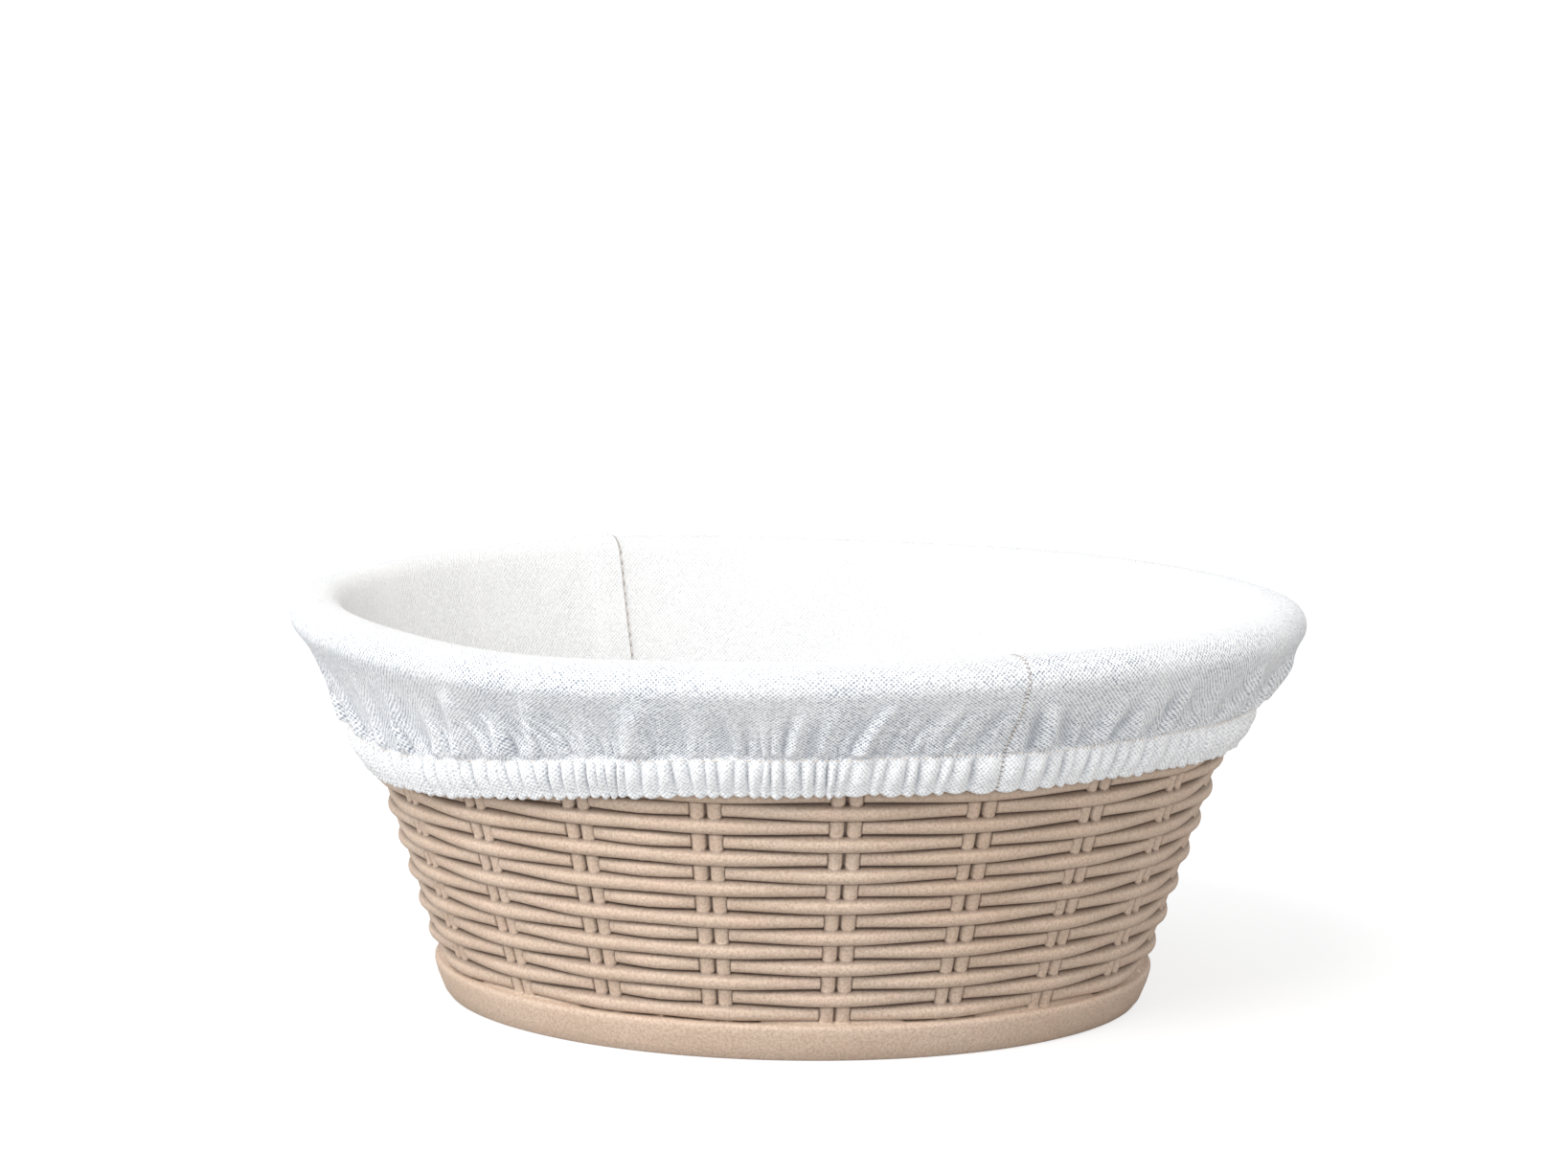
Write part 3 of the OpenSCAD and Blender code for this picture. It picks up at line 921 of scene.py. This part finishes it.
def bottom_panel():
    """The round cloth in the liner's bottom, puckered a little along its seam. Its marks put it
    well inside the liner and away from the side seams."""
    pucker, sag = waves(41, 10, 24, 60), waves(42, 6, 2, 7)
    from_hem, from_seam = -200, 9.0
    angle = np.arange(180) * 2.0
    a = np.radians(angle)
    mesh = Mesh()
    top, low = [], []
    for r in (8, 20, 32, 44, 54, 62, 67, 70, BOTTOM_R):
        z = BOTTOM_Z + 0.12 * sag(angle) * r / BOTTOM_R
        z = z + 0.14 * pucker(angle) * smooth_step((r - 60) / 10)
        marks = np.stack([
            r * np.sin(a), r * np.cos(a) + from_hem, np.full(len(a), from_seam),
        ], -1)
        top.append(mesh.add(spin(angle, r, z), marks))
        low.append(mesh.add(spin(angle, r, z - CLOTH), marks))
    mesh.strip(low + top[::-1], closed=True)
    middle = [0, from_hem, from_seam]
    mesh.fan(top[0], mesh.add([[0, 0, BOTTOM_Z * MM]], middle)[0])
    mesh.fan(low[0], mesh.add([[0, 0, (BOTTOM_Z - CLOTH) * MM]], middle)[0], flip=True)
    return mesh.build("liner_bottom", COTTON, "liner", "cloth", ["bottom_panel"], crisp=50)


def elastic():
    """The flat elastic inside the hem."""
    mesh = Mesh()
    angle = np.arange(360) * 1.0
    section = ((0.93, 1.2), (0.96, 3.6), (1.0, 6.0), (1.22, 6.0), (1.2, 3.6), (1.15, 1.2))
    rows = []
    for out, up in section:
        z = hem_low(angle) + up
        rows.append(mesh.add(spin(angle, outer_r(z) + out, z)))
    mesh.strip(rows + rows[:1], closed=True, flip=True)
    return mesh.build("liner_elastic", ELASTIC, "liner", "elastic", ["elastic_band"], crisp=40)


# ---- the stitches ---------------------------------------------------------

def stitches_along(line, pitch, length):
    """Starts, ends and normals of stitches along a line of points and normals."""
    margin = 0.5
    points, normals = line
    run = np.concatenate([[0], np.cumsum(np.linalg.norm(np.diff(points, axis=0), axis=1))]) / MM
    start = np.arange(margin, run[-1] - length, pitch)

    def at(places, values):
        return np.stack([np.interp(places, run, values[:, i]) for i in range(3)], 1)

    up = at(start + length / 2, normals)
    return at(start, points), at(start + length, points), up / np.linalg.norm(up, axis=1, keepdims=True)


def stitches_across(line, pitch, length):
    """Starts, ends and normals of stitches that lie across a line."""
    start, end, up = stitches_along(line, pitch, 0.2)
    side = np.cross(end - start, up)
    side *= length / 2 * MM / np.linalg.norm(side, axis=1, keepdims=True)
    middle = (start + end) / 2
    return middle - side, middle + side, up


def sew(name, nodes, lines, thick=0.13, bulge=0.16):
    """One piece of stitches, each of which is a short closed length of thread that dips into the
    cloth at both its ends. thick is the thread's radius, and bulge how far a stitch arches."""
    mesh = Mesh()
    start, end, up = (np.concatenate(part) for part in zip(*lines))
    run = end - start
    side = np.cross(up, run)
    side /= np.linalg.norm(side, axis=1, keepdims=True)
    turn = np.radians(np.arange(6) * 60)
    loop = up[:, None] * np.cos(turn)[:, None] + side[:, None] * np.sin(turn)[:, None]
    rings = []
    for share, girth in ((0, 0.45), (0.15, 0.9), (0.5, 1), (0.85, 0.9), (1, 0.45)):
        rise = bulge * (1 - (2 * share - 1) ** 4) - thick
        middle = start + run * share + up * rise * MM
        rings.append(mesh.add(middle[:, None] + loop * thick * girth * MM).reshape(-1, 6))
    for a, b in zip(rings, rings[1:]):
        a2, b2 = np.roll(a, -1, 1), np.roll(b, -1, 1)
        mesh.quads.append(np.stack([a, b, b2, a2], -1).reshape(-1, 4))
    first, last = rings[0], rings[-1]
    mesh.quads += [first[:, [0, 1, 2, 3]], first[:, [0, 3, 4, 5]]]
    mesh.quads += [last[:, [3, 2, 1, 0]], last[:, [5, 4, 3, 0]]]
    return mesh.build(name, THREAD, "liner", "thread", nodes)


def seam_line(faces, first, last):
    """The seam at the edge of a panel, from one row of its face to another."""
    part = faces[first:last]
    return np.array([p[0] for p, _ in part]), np.array([n[0] for _, n in part])


def seam_stitches(name, faces, nodes):
    """Long stitches up the inside, and short ones across the seam on the outside."""
    up_inside = stitches_along(seam_line(faces, CORNER_ROWS, RIM_ROW), 2.4, 1.9)
    down_outside = stitches_across(seam_line(faces, RIM_ROW, HEM_END), SEAM_PITCH, 0.8)
    return sew(name, nodes, [up_inside, down_outside], thick=0.1, bulge=0.1)


front_stitches = seam_stitches(
    "front_seam_stitches", right_faces, ["front_seam_thread", "front_skirt_thread"])
back_stitches = seam_stitches(
    "back_seam_stitches", left_faces, ["back_seam_thread", "back_skirt_thread"])
both_faces = (right_faces, left_faces)
hem_stitches = sew(
    "hem_stitches", ["hem_thread"],
    [stitches_along(faces[HEM_ROW], 2.3, 1.6) for faces in both_faces], bulge=0.22)
bottom_stitches = sew(
    "bottom_stitches", ["bottom_seam_thread"],
    [stitches_along(faces[CORNER_ROWS - 1], 2.6, 2.1) for faces in both_faces])

elastic()
bottom_panel()

# ---- floor and light ------------------------------------------------------

def stage_floor():
    """A pale floor. To the camera it also glows a little, so that shadows on it look soft. It
    bounces no more light up at the object than a small table would."""
    n = Nodes("pale_floor")
    at = n.place()
    pale = n.mix(n.noise(at, 4.0), srgb(249, 249, 249), srgb(252, 252, 252))
    seen = n.node("ShaderNodeLightPath")
    material = n.surface(
        Base_Color=n.mix(seen, srgb(182, 182, 182), srgb(158, 158, 158)), Roughness=0.9,
        Specular_IOR_Level=0.1, Emission_Color=pale, Emission_Strength=n.math("MULTIPLY", seen, 0.72))
    me = bpy.data.meshes.new("floor")
    s = 20.0
    corners = [(-s, -s, 0), (s, -s, 0), (s, s, 0), (-s, s, 0)]
    me.from_pydata(corners, [], [(0, 1, 2, 3)])
    me.materials.append(material)
    floor = bpy.data.objects.new("floor", me)
    bpy.context.scene.collection.objects.link(floor)


def sun(name, towards, spread, power, colour):
    """A soft distant lamp that stands in a direction from the object."""
    data = bpy.data.lights.new(name, "SUN")
    data.angle, data.energy, data.color = math.radians(spread), power, colour
    obj = bpy.data.objects.new(name, data)
    obj.rotation_mode = "QUATERNION"
    obj.rotation_quaternion = (-Vector(towards)).to_track_quat("-Z", "Y")
    bpy.context.scene.collection.objects.link(obj)


def lights():
    """An even studio, brighter from the left and from above, and a little warmer at the right."""
    world = bpy.data.worlds.new("studio")
    world.use_nodes = True
    background = world.node_tree.nodes["Background"]
    background.inputs["Color"].default_value = (0.985, 0.993, 1.0, 1.0)
    background.inputs["Strength"].default_value = 0.74
    bpy.context.scene.world = world
    sun("key", (-0.3, -0.62, 0.72), 25, 1.6, (1.0, 0.985, 0.97))
    sun("side", (-0.9, -0.3, 0.35), 50, 1.42, (0.97, 0.99, 1.0))
    sun("front", (0.1, -0.95, 0.18), 40, 0.95, (0.9, 0.955, 1.0))
    sun("right", (0.95, -0.25, 0.25), 50, 0.26, (1.0, 0.74, 0.45))
    bpy.context.scene.view_settings.view_transform = "Standard"


stage_floor()
lights()
